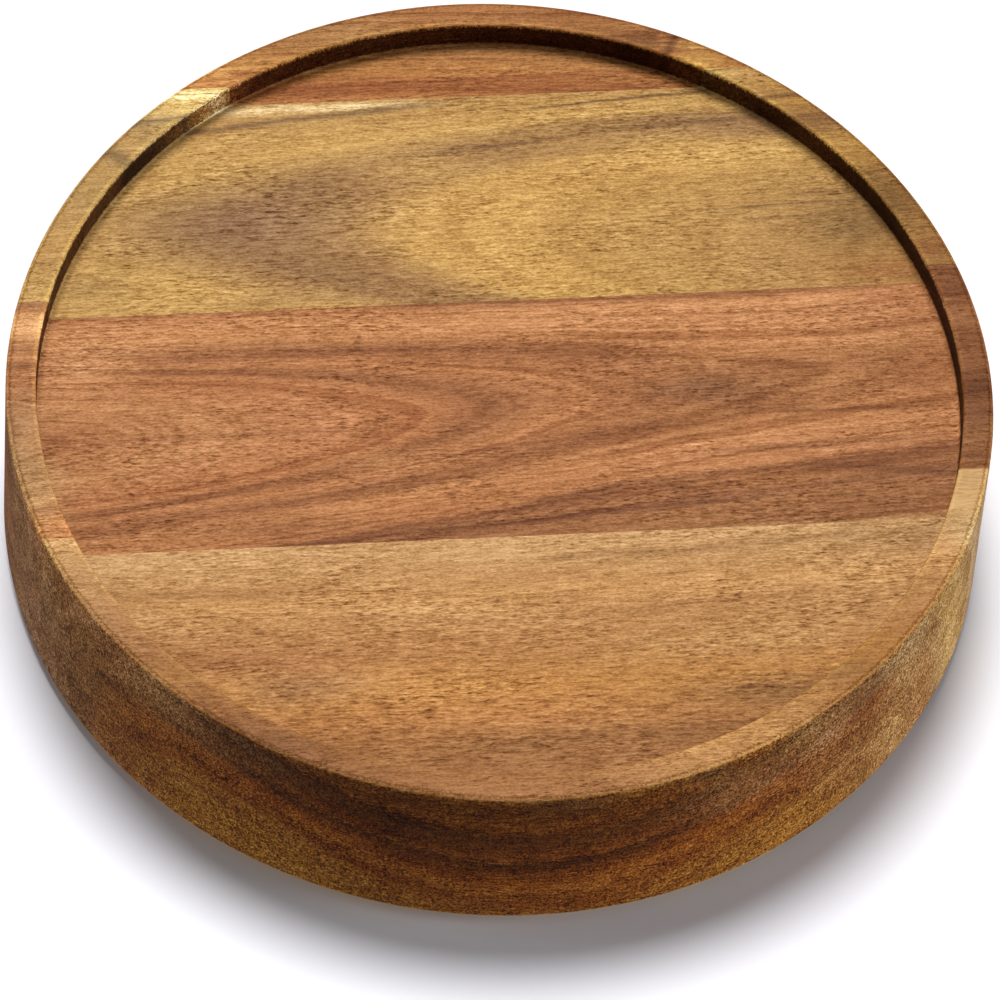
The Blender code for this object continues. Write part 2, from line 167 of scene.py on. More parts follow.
class Graph:
    """The node graph of a material, or of the world."""

    def __init__(self, owner):
        owner.use_nodes = True
        self.owner = owner
        self.tree = owner.node_tree
        self.shader = self.tree.nodes.get("Principled BSDF")

    def feed(self, socket, value):
        if isinstance(value, Value):
            self.tree.links.new(value.socket, socket)
        elif isinstance(value, tuple) and len(value) == 3 and socket.type == "RGBA":
            socket.default_value = (*value, 1.0)
        else:
            socket.default_value = value

    def add(self, kind, inputs=(), output=0, **settings):
        """One output of a new node. Its inputs are given in order, or by their names or places."""
        made = self.tree.nodes.new(kind)
        for name, value in settings.items():
            setattr(made, name, value)
        for key, value in inputs.items() if isinstance(inputs, dict) else enumerate(inputs):
            self.feed(made.inputs[key], value)
        return Value(self, made.outputs[output])

    def math(self, operation, *values):
        return self.add("ShaderNodeMath", values, operation=operation)

    def vector(self, x, y, z):
        return self.add("ShaderNodeCombineXYZ", (x, y, z))

    def split(self, vector):
        made = self.add("ShaderNodeSeparateXYZ", (vector,))
        return [Value(self, socket) for socket in made.socket.node.outputs]

    def place(self):
        """The point on the piece, in millimetres."""
        x, y, z = self.split(self.add("ShaderNodeTexCoord", output="Object"))
        return x * MM, y * MM, z * MM

    def normal(self):
        return self.split(self.add("ShaderNodeTexCoord", output="Normal"))

    def noise(self, place, detail=2.0, roughness=0.5, distortion=0.0):
        given = {"Vector": self.vector(*place), "Scale": 1.0, "Detail": detail, "Roughness": roughness}
        return self.add("ShaderNodeTexNoise", {**given, "Distortion": distortion}, "Fac")

    def cells(self, *place):
        return self.add("ShaderNodeTexVoronoi", {"Vector": self.vector(*place), "Scale": 1.0}, "Distance")

    def between(self, value, low, high, to_low=0.0, to_high=1.0):
        """Value from low to high, smoothly mapped to to_low up to to_high."""
        given = (value, low, high, to_low, to_high)
        return self.add("ShaderNodeMapRange", given, interpolation_type="SMOOTHSTEP")

    def bell(self, offset, width):
        """1 where offset is 0, falling to 0 smoothly over about twice the width."""
        ratio = offset / width
        return self.math("POWER", math.e, ratio * ratio * -1.0)

    def ramp(self, value, stops):
        """Colour stops [(position, (red, green, blue) as screen values), ...] over the value."""
        low, high = stops[0][0], stops[-1][0]
        made = self.add("ShaderNodeValToRGB", ((value - low) / (high - low),))
        elements = made.socket.node.color_ramp.elements
        while len(elements) < len(stops):
            elements.new(1.0)
        for element, (position, colour) in zip(elements, stops):
            element.position = (position - low) / (high - low)
            element.color = (*linear(*colour), 1.0)
        return made

    def mix(self, share, first, second, blend="MIX"):
        given = {"Factor": share, 6: first, 7: second}
        return self.add("ShaderNodeMix", given, 2, data_type="RGBA", blend_type=blend, clamp_factor=True)

    def times(self, colour, tint):
        return self.mix(1.0, colour, tint, "MULTIPLY")

    def tinted(self, share, colour, tint):
        """The colour, multiplied by the tint as far as the share says."""
        return self.mix(share, colour, self.times(colour, tint))

    def shade(self, tone, side):
        """A tint from a tone round 1, warmer in the dark. It is warmest on the sides, where side is 1."""
        tone = self.math("MAXIMUM", tone, 0.05)
        powers = (1.0, side * 0.2 + 1.3, side * 0.9 + 1.8)
        return self.add("ShaderNodeCombineColor", [self.math("POWER", tone, power) for power in powers])

    def finish(self, tone, colour, roughness):
        """Sets a colour with a tone round 1 on it, and a roughness."""
        grey = self.add("ShaderNodeCombineColor", (tone, tone, tone))
        self.set(Base_Color=self.times(grey, colour), Roughness=roughness)

    def bump(self, height, distance):
        given = {"Strength": 1.0, "Distance": distance, "Height": height}
        self.set(Normal=self.add("ShaderNodeBump", given))

    def set(self, **inputs):
        for name, value in inputs.items():
            self.feed(self.shader.inputs[name.replace("_", " ")], value)


# Wood


def bent(x, numbers):
    """A curve over x in millimetres: a constant, a slope and a bend per 100 mm."""
    share = x / 100.0
    start, slope, bend = numbers
    return start + share * (slope + share * bend)


class Stave:
    """How one stave's wood grew. Lengths are in mm, and colours are screen values."""

    def __init__(self, pith_y, pith_z, rings, seed, face=(), streaks=(), patches=(), rough=(), veins=1.0, rim=True):
        self.pith_y = pith_y  # the pith's line across the board: a constant, a slope and a bend per 100 mm along it
        self.pith_z = pith_z  # and upwards
        self.rings = rings  # colours by distance from the pith
        self.seed = seed
        self.face = face  # colours by place across the board, which take over near its face
        self.streaks = streaks  # (line across, half width, from x, to x, colour, strength)
        self.patches = patches  # (x, y, half length, half width, colour, strength)
        self.rough = rough  # where the grain is torn most: (x, y, half length, half width, strength)
        self.veins = veins  # how strongly the growth rings show
        self.rim = rim  # whether it reaches the tray's rim


# The tray's levels and radii in mm
TOP, FLOOR, BOTTOM = TRAY_TOP * MM, TRAY_FLOOR * MM, TRAY_BOTTOM * MM
WALL, RECESS = TRAY_RADIUS * MM, RECESS_RADIUS * MM
FACE_BLEND = (FLOOR - 11.0, FLOOR - 1.0)  # levels where the face's colours take over from the rings'

TONE = (0.735, 0.68, 0.575)  # bare colour over the colour seen under the studio light
# The turned sides' darkening: partly oil, partly painted shade, deeper at the front than at the back
SIDE_OIL_AND_SHADE_TINT = (0.84, 0.57, 0.18)
BACK_OIL_AND_SHADE_TINT = (0.84, 0.63, 0.30)
# Painted shade on the recess's wall
RECESS_SHADE_TINT = (0.15, 0.085, 0.045)
VEIN_TINT = (0.68, 0.57, 0.48)
PORE_TINT = (0.44, 0.32, 0.17)
SPECK_DARK = (0.36, 0.22, 0.12)
SPECK_LIGHT = (1.6, 1.80, 2.2)
# Painted highlights on the rim's rounded inner and outer top edges
EDGE_HIGHLIGHT_TINT = (1.30, 1.40, 1.25)
SAPWOOD = linear(214, 178, 128)
# A painted highlight along the tray's bottom edge
BOTTOM_EDGE_HIGHLIGHT = linear(232, 205, 165)
SPECULAR_LEVEL = 0.07
BUMP_DEPTH = 0.0001

RIM_PATCHES = [  # angle and half width in degrees, tint, strength
    (2.0, 14.0, (0.46, 0.42, 0.39), 0.9),
    (28.0, 14.0, (0.64, 0.56, 0.46), 0.9),
    (46.0, 8.0, (0.76, 0.68, 0.56), 0.8),
    (59.5, 3.0, (1.36, 1.74, 1.62), 0.8),
    (63.5, 0.6, (0.36, 0.32, 0.36), 0.8),
    (66.0, 1.0, (0.62, 0.56, 0.55), 0.7),
    (75.0, 7.0, (0.78, 0.74, 0.70), 0.8),
    (105.0, 8.0, (1.02, 1.16, 1.26), 0.8),
    (125.0, 7.0, (1.60, 1.95, 2.15), 0.9),
    (134.0, 3.0, (0.78, 0.84, 1.00), 0.7),
    (139.5, 1.3, (0.40, 0.42, 0.52), 0.8),
    (146.0, 5.0, (0.80, 0.84, 0.86), 0.7),
    (167.0, 4.0, (1.38, 1.62, 1.75), 0.9),
    (181.0, 6.0, (0.78, 0.82, 0.86), 0.8),
    (197.0, 5.0, (1.30, 1.30, 1.24), 0.8),
    (212.0, 7.0, (0.88, 0.80, 0.84), 0.8),
    (232.0, 13.0, (0.67, 0.66, 0.75), 0.85),
    (294.0, 13.0, (1.60, 1.93, 1.98), 0.9),
    (317.0, 9.0, (0.74, 0.70, 0.64), 0.85),
]
RECESS_PATCHES = [  # the same, on the recess's wall
    (124.5, 4.5, (4.0, 5.2, 6.4), 0.85),
    (137.0, 4.0, (0.30, 0.36, 0.50), 0.85),
]
# The pale patches on the right of the wall are partly paler wood and partly painted light: they lift the sides'
# painted shade where that wall catches light from the right
WALL_PATCHES = [  # on the outer wall: angle and half width, level and half height, colour, strength
    (-10.0, 11.0, 28.0, 90.0, (224, 193, 140), 0.9),
    (-28.0, 6.0, 28.0, 90.0, (221, 175, 97), 0.85),
    (-38.0, 4.5, 44.0, 22.0, (206, 160, 96), 0.8),
    (-39.0, 6.0, 55.0, 5.0, (232, 188, 124), 0.6),
    (-42.0, 6.0, 14.0, 16.0, (214, 164, 94), 0.8),
    (-53.0, 6.0, 46.0, 14.0, (188, 138, 82), 0.6),
    (-65.0, 6.0, 41.0, 6.5, (184, 128, 72), 0.55),
    (-50.0, 5.0, 22.0, 7.0, (202, 148, 86), 0.5),
    (-67.0, 3.5, 54.0, 4.5, (88, 60, 36), 0.6),
    (-84.0, 5.0, 54.0, 5.0, (92, 58, 30), 0.6),
    (-138.0, 14.0, 53.0, 10.0, (218, 160, 94), 0.75),
    (-164.0, 12.0, 28.0, 90.0, (182, 134, 84), 0.65),
    (-158.0, 4.0, 42.0, 5.0, (204, 156, 92), 0.5),
]
WALL_LEAN = 0.12  # of the wall's patches, in degrees per mm
WALL_LEAN_START = 3.4
CALM_ANGLES = (-40.0, -24.0)  # between these the wall's speckles fade
SAPWOOD_X = (100.0, 104.0)  # pale wood that crosses the front joint on the rim
SAPWOOD_REAR_Y = (-31.2, -31.6)
SAPWOOD_FRONT_Y = (-48.0, -42.0)
CREAM_ANGLE = 124.0  # middle of the rim's palest stretch


class Grain:
    """A point on one stave, in mm, with the noises and zones that several layers of its wood share."""

    def __init__(self, g, stave):
        self.g = g
        self.stave = stave
        x, y, z = self.x, self.y, self.z = g.place()
        self.axis = g.math("SQRT", x * x + y * y)
        self.drift = self.noise(80.0, 26.0) - 0.5
        self.waver = self.noise(17.0, 6.0, detail=3.0, roughness=0.6) - 0.5
        self.torn = self.noise(3.4, 0.72, detail=2.5, roughness=0.65, distortion=0.4) - 0.5
        self.fibre = self.noise(9.0, 0.7, seeded=1, roughness=0.6) - 0.5
        self.pits = g.noise((x / 0.5, y / 0.5, z / 0.6 + stave.seed), detail=1.0) - 0.5
        self.crowd = self.noise(30.0, 9.0)
        self.angle = g.math("ARCTAN2", y + self.waver * 4.0, x) * math.degrees(1.0)
        self.hairs = g.noise((self.angle * 4.4, self.axis / 1.5, z / 2.5), detail=1.0) - 0.5

        # Zones: turned sides, the rim, the recess's wall, and the sides that drink oil and carry painted shade
        self.side = g.between(g.math("ABSOLUTE", g.normal()[2]), 0.80, 0.30)
        self.rim = g.between(self.axis, RECESS - 0.6, RECESS - 0.1) * g.between(z, FLOOR - 7.0, TOP - 4.0)
        self.inner = g.between(self.axis, RECESS + 2.8, RECESS + 1.8) * g.between(z, FLOOR - 9.0, FLOOR - 5.0)
        self.oiled = self.side * g.between(z + self.hairs * 2.4, TOP - 0.2, TOP - 1.4)

        # The growth rings: the distance and direction from the pith
        self.across = y + self.drift * 4.0 + self.waver * 1.8 + self.torn * 1.3
        up = z + self.drift * 1.6 - self.waver * 0.5 + self.torn * 0.15
        off_y = self.across - bent(x, stave.pith_y)
        off_z = up - bent(x, stave.pith_z)
        wobble = self.side * (self.fibre * 7.0 + self.waver * 7.0)
        self.radius = g.math("SQRT", off_y * off_y + off_z * off_z) + wobble
        self.spoke = g.math("ARCTAN2", off_z, off_y)
        self.lines = g.noise((self.radius / 3.0, x / 140.0 + stave.seed, 0.5), roughness=0.7) - 0.5
        self.hair = g.noise((self.radius / 0.62, x / 160.0, stave.seed), detail=1.0) - 0.5

    def noise(self, along, across, seeded=0, wavy=False, **settings):
        """A noise with its sizes along and across the grain. The seed moves it along one of its axes."""
        place = [self.x / along, (self.across if wavy else self.y) / across, self.z / across]
        place[seeded] = place[seeded] + self.stave.seed
        return self.g.noise(place, **settings)


def grown_colour(grain):
    """The colours of the rings, the face, and the streaks and patches in it, with dark veins and fibres."""
    g, stave, x = grain.g, grain.stave, grain.x
    colour = g.ramp(grain.radius, stave.rings)
    if stave.face:
        share = g.between(grain.z, *FACE_BLEND) * (1.0 - grain.side)
        colour = g.mix(share, colour, g.ramp(grain.across, stave.face))
    for line, width, start, end, tint, strength in stave.streaks:
        along = g.between(x, start - 12.0, start + 12.0) * g.between(x, end + 12.0, end - 12.0)
        share = g.bell(grain.across - bent(x, line), width) * along * strength
        colour = g.mix(share, colour, linear(*tint))
    for mid_x, mid_y, length, width, tint, strength in stave.patches:
        along = g.bell(x + grain.drift * 30.0 - mid_x, length)
        share = along * g.bell(grain.across - mid_y, width) * strength
        colour = g.mix(share, colour, linear(*tint))
    rings = g.noise((grain.radius / 1.3, x / 160.0, stave.seed), detail=1.0)
    vein = g.between(rings, 0.54, 0.66) * stave.veins
    thread = g.between(grain.noise(45.0, 0.5, wavy=True, detail=1.0), 0.62, 0.72)
    colour = g.tinted(vein * 0.75, colour, VEIN_TINT)
    return g.tinted(thread * 0.75, colour, VEIN_TINT)


def grain_tone(grain, grit):
    """Light and shade round 1: a cloudy drift, long fibres, and the short ripples of interlocked grain."""
    g, stave = grain.g, grain.stave
    lines, hair, fibre, torn = grain.lines, grain.hair, grain.fibre, grain.torn
    cloud = grain.noise(45.0, 14.0, seeded=1) - 0.5
    mottle = grain.noise(9.0, 3.2, seeded=2) - 0.5
    tick = g.between(grain.noise(3.0, 0.42, wavy=True, detail=1.5), 0.52, 0.70)
    strength = g.between(grain.crowd, 0.35, 0.65, 0.7, 1.9) * (1.0 - grain.rim * 0.4)
    tone = 1.03 + lines * 0.40 + hair * (0.65 * stave.veins) + cloud * 0.26 + mottle * 0.30
    tone = tone + fibre * 0.8 + grit * 1.1 + torn * strength - tick * (0.10 + strength * 0.12)
    for mid_x, mid_y, length, width, more in stave.rough:
        wave = g.between(grain.noise(6.5, 1.0, wavy=True, detail=1.5, distortion=0.5), 0.50, 0.66)
        zone = g.bell(grain.x - mid_x, length) * g.bell(grain.y - mid_y, width)
        tone = tone + zone * (1.0 - grain.rim) * more * (0.16 - wave * 0.5 + torn)
    clouds = g.noise((grain.x / 15.0, grain.y / 15.0, grain.z / 6.0 + stave.seed), detail=2.5)
    blotch = g.between(clouds, 0.46, 0.62)
    return tone + grain.side * (hair * 0.9 + lines * 0.7 + fibre * 0.5 + grain.pits * 2.2 + 0.08 - blotch * 0.24)


def pores(grain):
    """Dark dashes along the grain, which crowd in places."""
    g = grain.g
    dash = g.cells(grain.x / 3.4 + grain.stave.seed, grain.y / 0.75 + grain.waver * 3.0, grain.z / 0.75)
    return g.between(dash, 0.30, 0.12) * g.between(grain.crowd, 0.40, 0.62)


def oil_and_shade_sides(grain, colour, shade):
    """Turned sides drink more oil than the faces, so they are darker and speckled. Their darkening is partly
    painted shade, deeper at the front and deepest on the recess's wall. Also gives the dark specks.
    """
    g, oiled, inner = grain.g, grain.oiled, grain.inner
    # Painted shade: the sides darken, partly from their oil, and the recess's wall far more
    wall_oil_and_shade_tint = g.mix(g.between(grain.y, 0.0, 60.0), SIDE_OIL_AND_SHADE_TINT, BACK_OIL_AND_SHADE_TINT)
    colour = g.tinted(oiled, colour, g.mix(inner, wall_oil_and_shade_tint, RECESS_SHADE_TINT))
    if grain.stave.rim:
        leaning = grain.angle + grain.z * WALL_LEAN - WALL_LEAN_START
        for centre, width, level, height, tint, strength in WALL_PATCHES:
            share = g.bell(leaning - centre, width) * g.bell(grain.z - level, height)
            share = share * oiled * (1.0 - inner) * strength
            colour = g.mix(share, colour, g.times(linear(*tint), shade))
    place = grain.radius / 0.6, grain.spoke * 32.0 / 1.3, grain.x / 1.1 + grain.stave.seed
    speck = g.noise(place, detail=1.5, roughness=0.6) + grain.fibre * 0.3 + grain.pits * 0.5
    calm = 1.0 - g.between(grain.angle, *CALM_ANGLES) * (1.0 - inner) * 0.55
    dark = oiled * calm * g.between(speck, 0.50, 0.34)
    light = oiled * calm * g.between(speck, 0.54, 0.70)
    colour = g.tinted(dark * 0.85, colour, SPECK_DARK)
    return g.tinted(light * 0.55, colour, SPECK_LIGHT), dark


def mark_rim(grain, colour):
    """The rim's own patches, the sapwood that crosses a joint there, and the ragged edges: painted highlights on
    the rounded edges and along the bottom, and a dark frayed line.
    """
    g, axis, z = grain.g, grain.axis, grain.z
    for patches, zone in ((RIM_PATCHES, grain.rim), (RECESS_PATCHES, grain.oiled * grain.inner)):
        for centre, width, tint, strength in patches:
            off = g.math("WRAP", grain.angle - centre, 180.0, -180.0)
            colour = g.tinted(g.bell(off, width) * zone * strength, colour, tint)
    sap = grain.rim * (1.0 - grain.side) * g.between(grain.x, *SAPWOOD_X)
    sap = sap * g.between(grain.y, *SAPWOOD_REAR_Y) * g.between(grain.y, *SAPWOOD_FRONT_Y)
    colour = g.mix(sap * (0.75 + grain.torn * 1.5), colour, SAPWOOD)

    ragged = grain.hairs * 1.2
    # A painted highlight along the rim's inner round, weaker at the front and left out at the palest stretch
    lip = g.between(axis + ragged, RECESS + 1.4, RECESS + 0.8) * g.between(z + ragged, TOP - 1.8, TOP - 1.1)
    lip = lip * (1.0 - g.bell(grain.angle - CREAM_ANGLE, 8.0)) * g.between(grain.y, -30.0, 30.0, 0.4, 0.8)
    frayed = g.bell(axis + ragged * 1.5 - (WALL - 1.1), 0.3) * g.between(z, TOP - 3.0, TOP - 1.0)
    # A painted highlight along the outer top round
    upper = g.between(axis + ragged, WALL - 0.9, WALL - 0.6) * g.between(z + ragged * 2.0, TOP - 2.0, TOP - 1.1)
    # A painted highlight along the bottom edge
    lower = g.between(z + ragged * 0.3, BOTTOM + 1.4, BOTTOM + 1.1) * g.between(z, BOTTOM + 0.4, BOTTOM + 0.7)
    lower = lower * g.between(axis, WALL - 1.5, WALL - 0.8)
    colour = g.tinted(lip, colour, EDGE_HIGHLIGHT_TINT)
    colour = g.tinted(frayed * 0.7, colour, PORE_TINT)
    colour = g.tinted(upper * 0.6, colour, EDGE_HIGHLIGHT_TINT)
    return g.mix(lower * 0.6, colour, BOTTOM_EDGE_HIGHLIGHT)


def wood(name, stave):
    """The acacia of one stave under its oil finish, cut from a solid pattern, so that faces, sides and joints
    agree. Its sides carry painted shade and its edges painted highlights.
    """
    g = Graph(bpy.data.materials.new(name))
    grain = Grain(g, stave)
    grit = grain.noise(0.8, 0.33, seeded=1, detail=1.0) - 0.5
    shade = g.shade(grain_tone(grain, grit), grain.side)
    pore = pores(grain)
    colour = g.times(grown_colour(grain), shade)
    colour = g.tinted(pore * 0.7, colour, PORE_TINT)
    colour, dark = oil_and_shade_sides(grain, colour, shade)
    if stave.rim:
        colour = mark_rim(grain, colour)
    g.set(Base_Color=g.times(colour, TONE), Roughness=0.55 + grain.torn * 0.2 + pore * 0.2)
    g.shader.inputs["Specular IOR Level"].default_value = SPECULAR_LEVEL
    g.bump(grain.torn * 0.8 + grain.fibre * 0.5 + grit * 0.3 - pore * 1.0 - dark * 0.4, BUMP_DEPTH)
    return g.owner


REAR_WOOD = Stave(
    pith_y=(67.8, -2.9, -8.4),
    pith_z=(33.5, -3.0, 2.7),
    rings=[
        (30.0, (150, 96, 56)),
        (36.0, (186, 129, 78)),
        (38.5, (168, 108, 62)),
        (40.0, (148, 90, 50)),
        (42.0, (170, 110, 63)),
        (46.0, (184, 128, 74)),
        (52.0, (176, 124, 76)),
        (60.0, (168, 114, 70)),
    ],
    streaks=[((107.4, 1.0, -3.0), 0.8, -60.0, 84.0, (146, 82, 50), 0.6)],
    patches=[(44.0, 112.0, 5.0, 3.0, (120, 74, 46), 0.7)],
    seed=3.1,
)
MID_REAR_WOOD = Stave(
    pith_y=(56.9, -8.8, -4.6),
    pith_z=(7.3, 16.0, 5.3),
    rings=[
        (14.0, (160, 116, 62)),
        (20.0, (176, 132, 78)),
        (28.0, (184, 143, 89)),
        (35.0, (192, 152, 92)),
        (41.0, (207, 166, 99)),
        (44.5, (200, 159, 95)),
        (47.0, (168, 129, 84)),
        (50.0, (155, 117, 79)),
        (52.0, (180, 141, 88)),
        (54.0, (203, 163, 99)),
        (57.0, (196, 156, 95)),
        (59.0, (190, 150, 92)),
        (61.0, (190, 150, 94)),
        (70.0, (200, 160, 100)),
    ],
    patches=[
        (-62.0, 63.0, 24.0, 11.0, (134, 100, 74), 0.75),
        (-45.0, 46.0, 18.0, 6.0, (146, 110, 76), 0.5),
        (110.0, 39.0, 14.0, 3.0, (168, 114, 70), 0.8),
        (101.0, 55.0, 12.0, 8.0, (140, 106, 64), 0.95),
        (-14.0, 79.0, 16.0, 5.5, (210, 170, 106), 0.6),
        (27.0, 86.0, 16.0, 5.5, (200, 160, 97), 0.35),
        (54.0, 84.0, 16.0, 4.0, (203, 163, 99), 0.6),
        (-56.0, 37.0, 16.0, 4.0, (160, 120, 80), 0.5),
        (-104.0, 44.0, 10.0, 5.0, (158, 124, 80), 0.6),
    ],
    streaks=[
        ((100.6, 1.5, 0.0), 1.3, -84.0, -14.0, (236, 208, 158), 0.9),
        ((100.8, 9.0, -2.0), 1.0, -96.0, -10.0, (116, 88, 64), 0.75),
        ((95.0, 8.0, 0.0), 0.5, 16.0, 66.0, (104, 76, 52), 0.8),
        ((84.5, 12.0, -4.0), 0.8, -20.0, 100.0, (118, 84, 60), 0.7),
        ((88.0, 9.0, -3.0), 0.5, 10.0, 84.0, (126, 92, 64), 0.6),
        ((60.0, 3.0, 0.0), 0.5, 60.0, 112.0, (140, 108, 70), 0.7),
        ((64.5, 1.0, 0.0), 0.5, 84.0, 112.0, (132, 100, 66), 0.7),
        ((56.5, 2.0, 0.0), 0.4, 70.0, 104.0, (140, 108, 70), 0.6),
    ],
    rough=[(-55.0, 62.0, 34.0, 16.0, 0.9)],
    seed=11.7,
    veins=0.3,
)
MID_FRONT_WOOD = Stave(
    pith_y=(1.0, 6.5, 0.3),
    pith_z=(25.0, -10.6, 4.2),
    rings=[
        (8.0, (176, 119, 80)),
        (14.0, (190, 135, 92)),
        (18.0, (184, 126, 86)),
        (22.0, (182, 123, 82)),
        (24.0, (150, 98, 64)),
        (26.0, (183, 125, 83)),
        (28.0, (172, 116, 77)),
        (29.5, (152, 99, 65)),
        (31.0, (172, 117, 77)),
        (33.5, (192, 134, 90)),
        (36.0, (182, 125, 83)),
        (39.0, (182, 124, 82)),
        (41.5, (146, 96, 65)),
        (43.5, (160, 108, 72)),
        (45.5, (144, 95, 64)),
        (47.5, (162, 111, 74)),
        (52.0, (156, 106, 69)),
        (60.0, (166, 113, 75)),
    ],
    streaks=[
        ((28.8, 2.2, 0.0), 4.5, -140.0, 95.0, (206, 149, 103), 0.8),
        ((20.0, -1.0, -1.0), 1.3, -92.0, -10.0, (138, 86, 56), 0.7),
        ((-32.6, 27.2, -19.1), 1.1, 6.0, 124.0, (112, 68, 46), 0.7),
        ((-36.4, 7.4, 0.0), 0.8, -62.0, 60.0, (112, 68, 46), 0.75),
        ((-3.0, -2.0, 0.0), 0.6, 74.0, 116.0, (122, 78, 50), 0.7),
        ((-6.5, 2.0, 0.0), 0.5, 52.0, 112.0, (130, 84, 54), 0.6),
        ((-19.5, 6.0, -2.0), 1.0, 50.0, 112.0, (126, 78, 50), 0.5),
        ((-12.0, 12.0, -4.0), 1.2, -112.0, 50.0, (144, 92, 60), 0.6),
        ((-3.0, 3.0, 0.0), 0.9, -100.0, -34.0, (150, 98, 66), 0.5),
        ((-20.0, 11.0, 0.0), 1.0, -108.0, 0.0, (142, 92, 60), 0.6),
    ],
    patches=[
        (96.0, -41.0, 34.0, 1.6, (204, 162, 112), 0.85),
        (112.0, 12.0, 20.0, 24.0, (176, 114, 72), 0.5),
        (50.0, 3.0, 17.0, 4.5, (132, 90, 62), 0.8),
        (84.0, 16.0, 30.0, 6.0, (208, 150, 104), 0.8),
        (79.0, 4.0, 16.0, 5.0, (194, 138, 94), 0.85),
        (54.0, 15.0, 14.0, 4.0, (204, 147, 101), 0.75),
        (50.0, -5.0, 12.0, 3.0, (198, 142, 96), 0.55),
        (-25.0, -15.0, 14.0, 3.0, (196, 140, 96), 0.55),
        (64.0, -25.0, 24.0, 3.0, (190, 134, 90), 0.55),
        (-62.0, -35.0, 26.0, 3.5, (148, 98, 64), 0.6),
        (-104.0, 18.0, 12.0, 9.0, (208, 152, 108), 0.8),
        (-126.0, -22.0, 8.0, 18.0, (184, 150, 106), 0.7),
    ],
    seed=23.9,
)
FRONT_WOOD = Stave(
    pith_y=(-105.0, 0.0, 0.0),
    pith_z=(-9.0, 2.0, 22.0),
    rings=[
        (0.0, (198, 156, 98)),
        (18.0, (200, 158, 98)),
        (21.0, (170, 122, 74)),
        (24.0, (196, 150, 92)),
        (28.0, (168, 112, 66)),
        (32.0, (184, 128, 76)),
        (36.0, (176, 116, 64)),
        (39.0, (150, 96, 54)),
        (42.5, (114, 76, 44)),
        (45.0, (150, 96, 54)),
        (49.0, (122, 78, 44)),
        (53.0, (112, 72, 42)),
        (57.0, (148, 98, 54)),
        (64.0, (140, 96, 56)),
        (72.0, (160, 114, 66)),
        (90.0, (168, 124, 76)),
    ],
    face=[
        (-127.0, (160, 110, 70)),
        (-106.0, (162, 112, 70)),
        (-96.0, (180, 125, 75)),
        (-86.0, (194, 140, 81)),
        (-76.0, (180, 129, 81)),
        (-66.0, (186, 138, 90)),
        (-57.0, (201, 153, 101)),
        (-50.0, (192, 148, 100)),
        (-44.0, (202, 160, 112)),
        (-38.0, (200, 158, 112)),
    ],
    patches=[
        (66.0, -92.0, 24.0, 6.0, (136, 96, 60), 0.75),
        (56.0, -75.0, 26.0, 5.0, (206, 162, 108), 0.65),
        (-75.0, -76.0, 26.0, 5.0, (166, 113, 75), 0.6),
        (-62.0, -85.0, 18.0, 5.0, (164, 122, 90), 0.65),
        (102.0, -46.0, 12.0, 4.0, (168, 124, 84), 0.6),
        (-20.0, -62.0, 34.0, 2.5, (214, 168, 116), 0.5),
        (126.0, -56.0, 12.0, 16.0, (226, 204, 160), 0.85),
        (-114.0, -62.0, 18.0, 26.0, (190, 152, 106), 0.6),
    ],
    streaks=[
        ((-48.0, 1.0, 3.0), 1.3, 8.0, 90.0, (150, 108, 70), 0.6),
        ((-55.5, 0.0, 2.0), 2.2, -120.0, -48.0, (168, 120, 76), 0.7),
        ((-53.5, 5.0, 0.0), 2.5, -30.0, 20.0, (178, 130, 84), 0.6),
        ((-65.5, 4.0, 0.0), 1.2, 14.0, 80.0, (166, 118, 74), 0.6),
        ((-104.0, 3.0, 0.0), 3.0, -20.0, 70.0, (140, 96, 58), 0.55),
    ],
    rough=[(6.0, -98.0, 72.0, 15.0, 0.8), (84.0, -62.0, 16.0, 9.0, 0.7), (-40.0, -84.0, 30.0, 10.0, 0.4)],
    seed=37.3,
    veins=0.3,
)
TRAY_WOOD = {
    "tray_stave_rear": REAR_WOOD,
    "tray_stave_mid_rear": MID_REAR_WOOD,
    "tray_stave_mid_front": MID_FRONT_WOOD,
    "tray_stave_front": FRONT_WOOD,
}

GOLDEN_RINGS = [
    (10.0, (200, 152, 90)),
    (40.0, (186, 134, 80)),
    (55.0, (196, 146, 88)),
    (70.0, (172, 122, 74)),
    (95.0, (196, 146, 92)),
]
BROWN_RINGS = [
    (10.0, (176, 120, 76)),
    (35.0, (156, 102, 64)),
    (50.0, (182, 124, 80)),
    (65.0, (150, 98, 62)),
    (95.0, (178, 122, 78)),
]
OLIVE_RINGS = [
    (10.0, (190, 150, 92)),
    (35.0, (172, 132, 82)),
    (50.0, (204, 163, 99)),
    (60.0, (160, 122, 80)),
    (95.0, (198, 157, 96)),
]
BASE_WOOD = {
    "base_stave_rear": Stave((92.0, 6.0, 0.0), (50.0, 8.0, 0.0), GOLDEN_RINGS, seed=51.0, rim=False),
    "base_stave_middle": Stave((-4.0, 9.0, 2.0), (62.0, -10.0, 0.0), BROWN_RINGS, seed=63.0, rim=False),
    "base_stave_front": Stave((-96.0, -5.0, 0.0), (46.0, 0.0, 4.0), OLIVE_RINGS, seed=77.0, rim=False),
}


# Hardware finishes


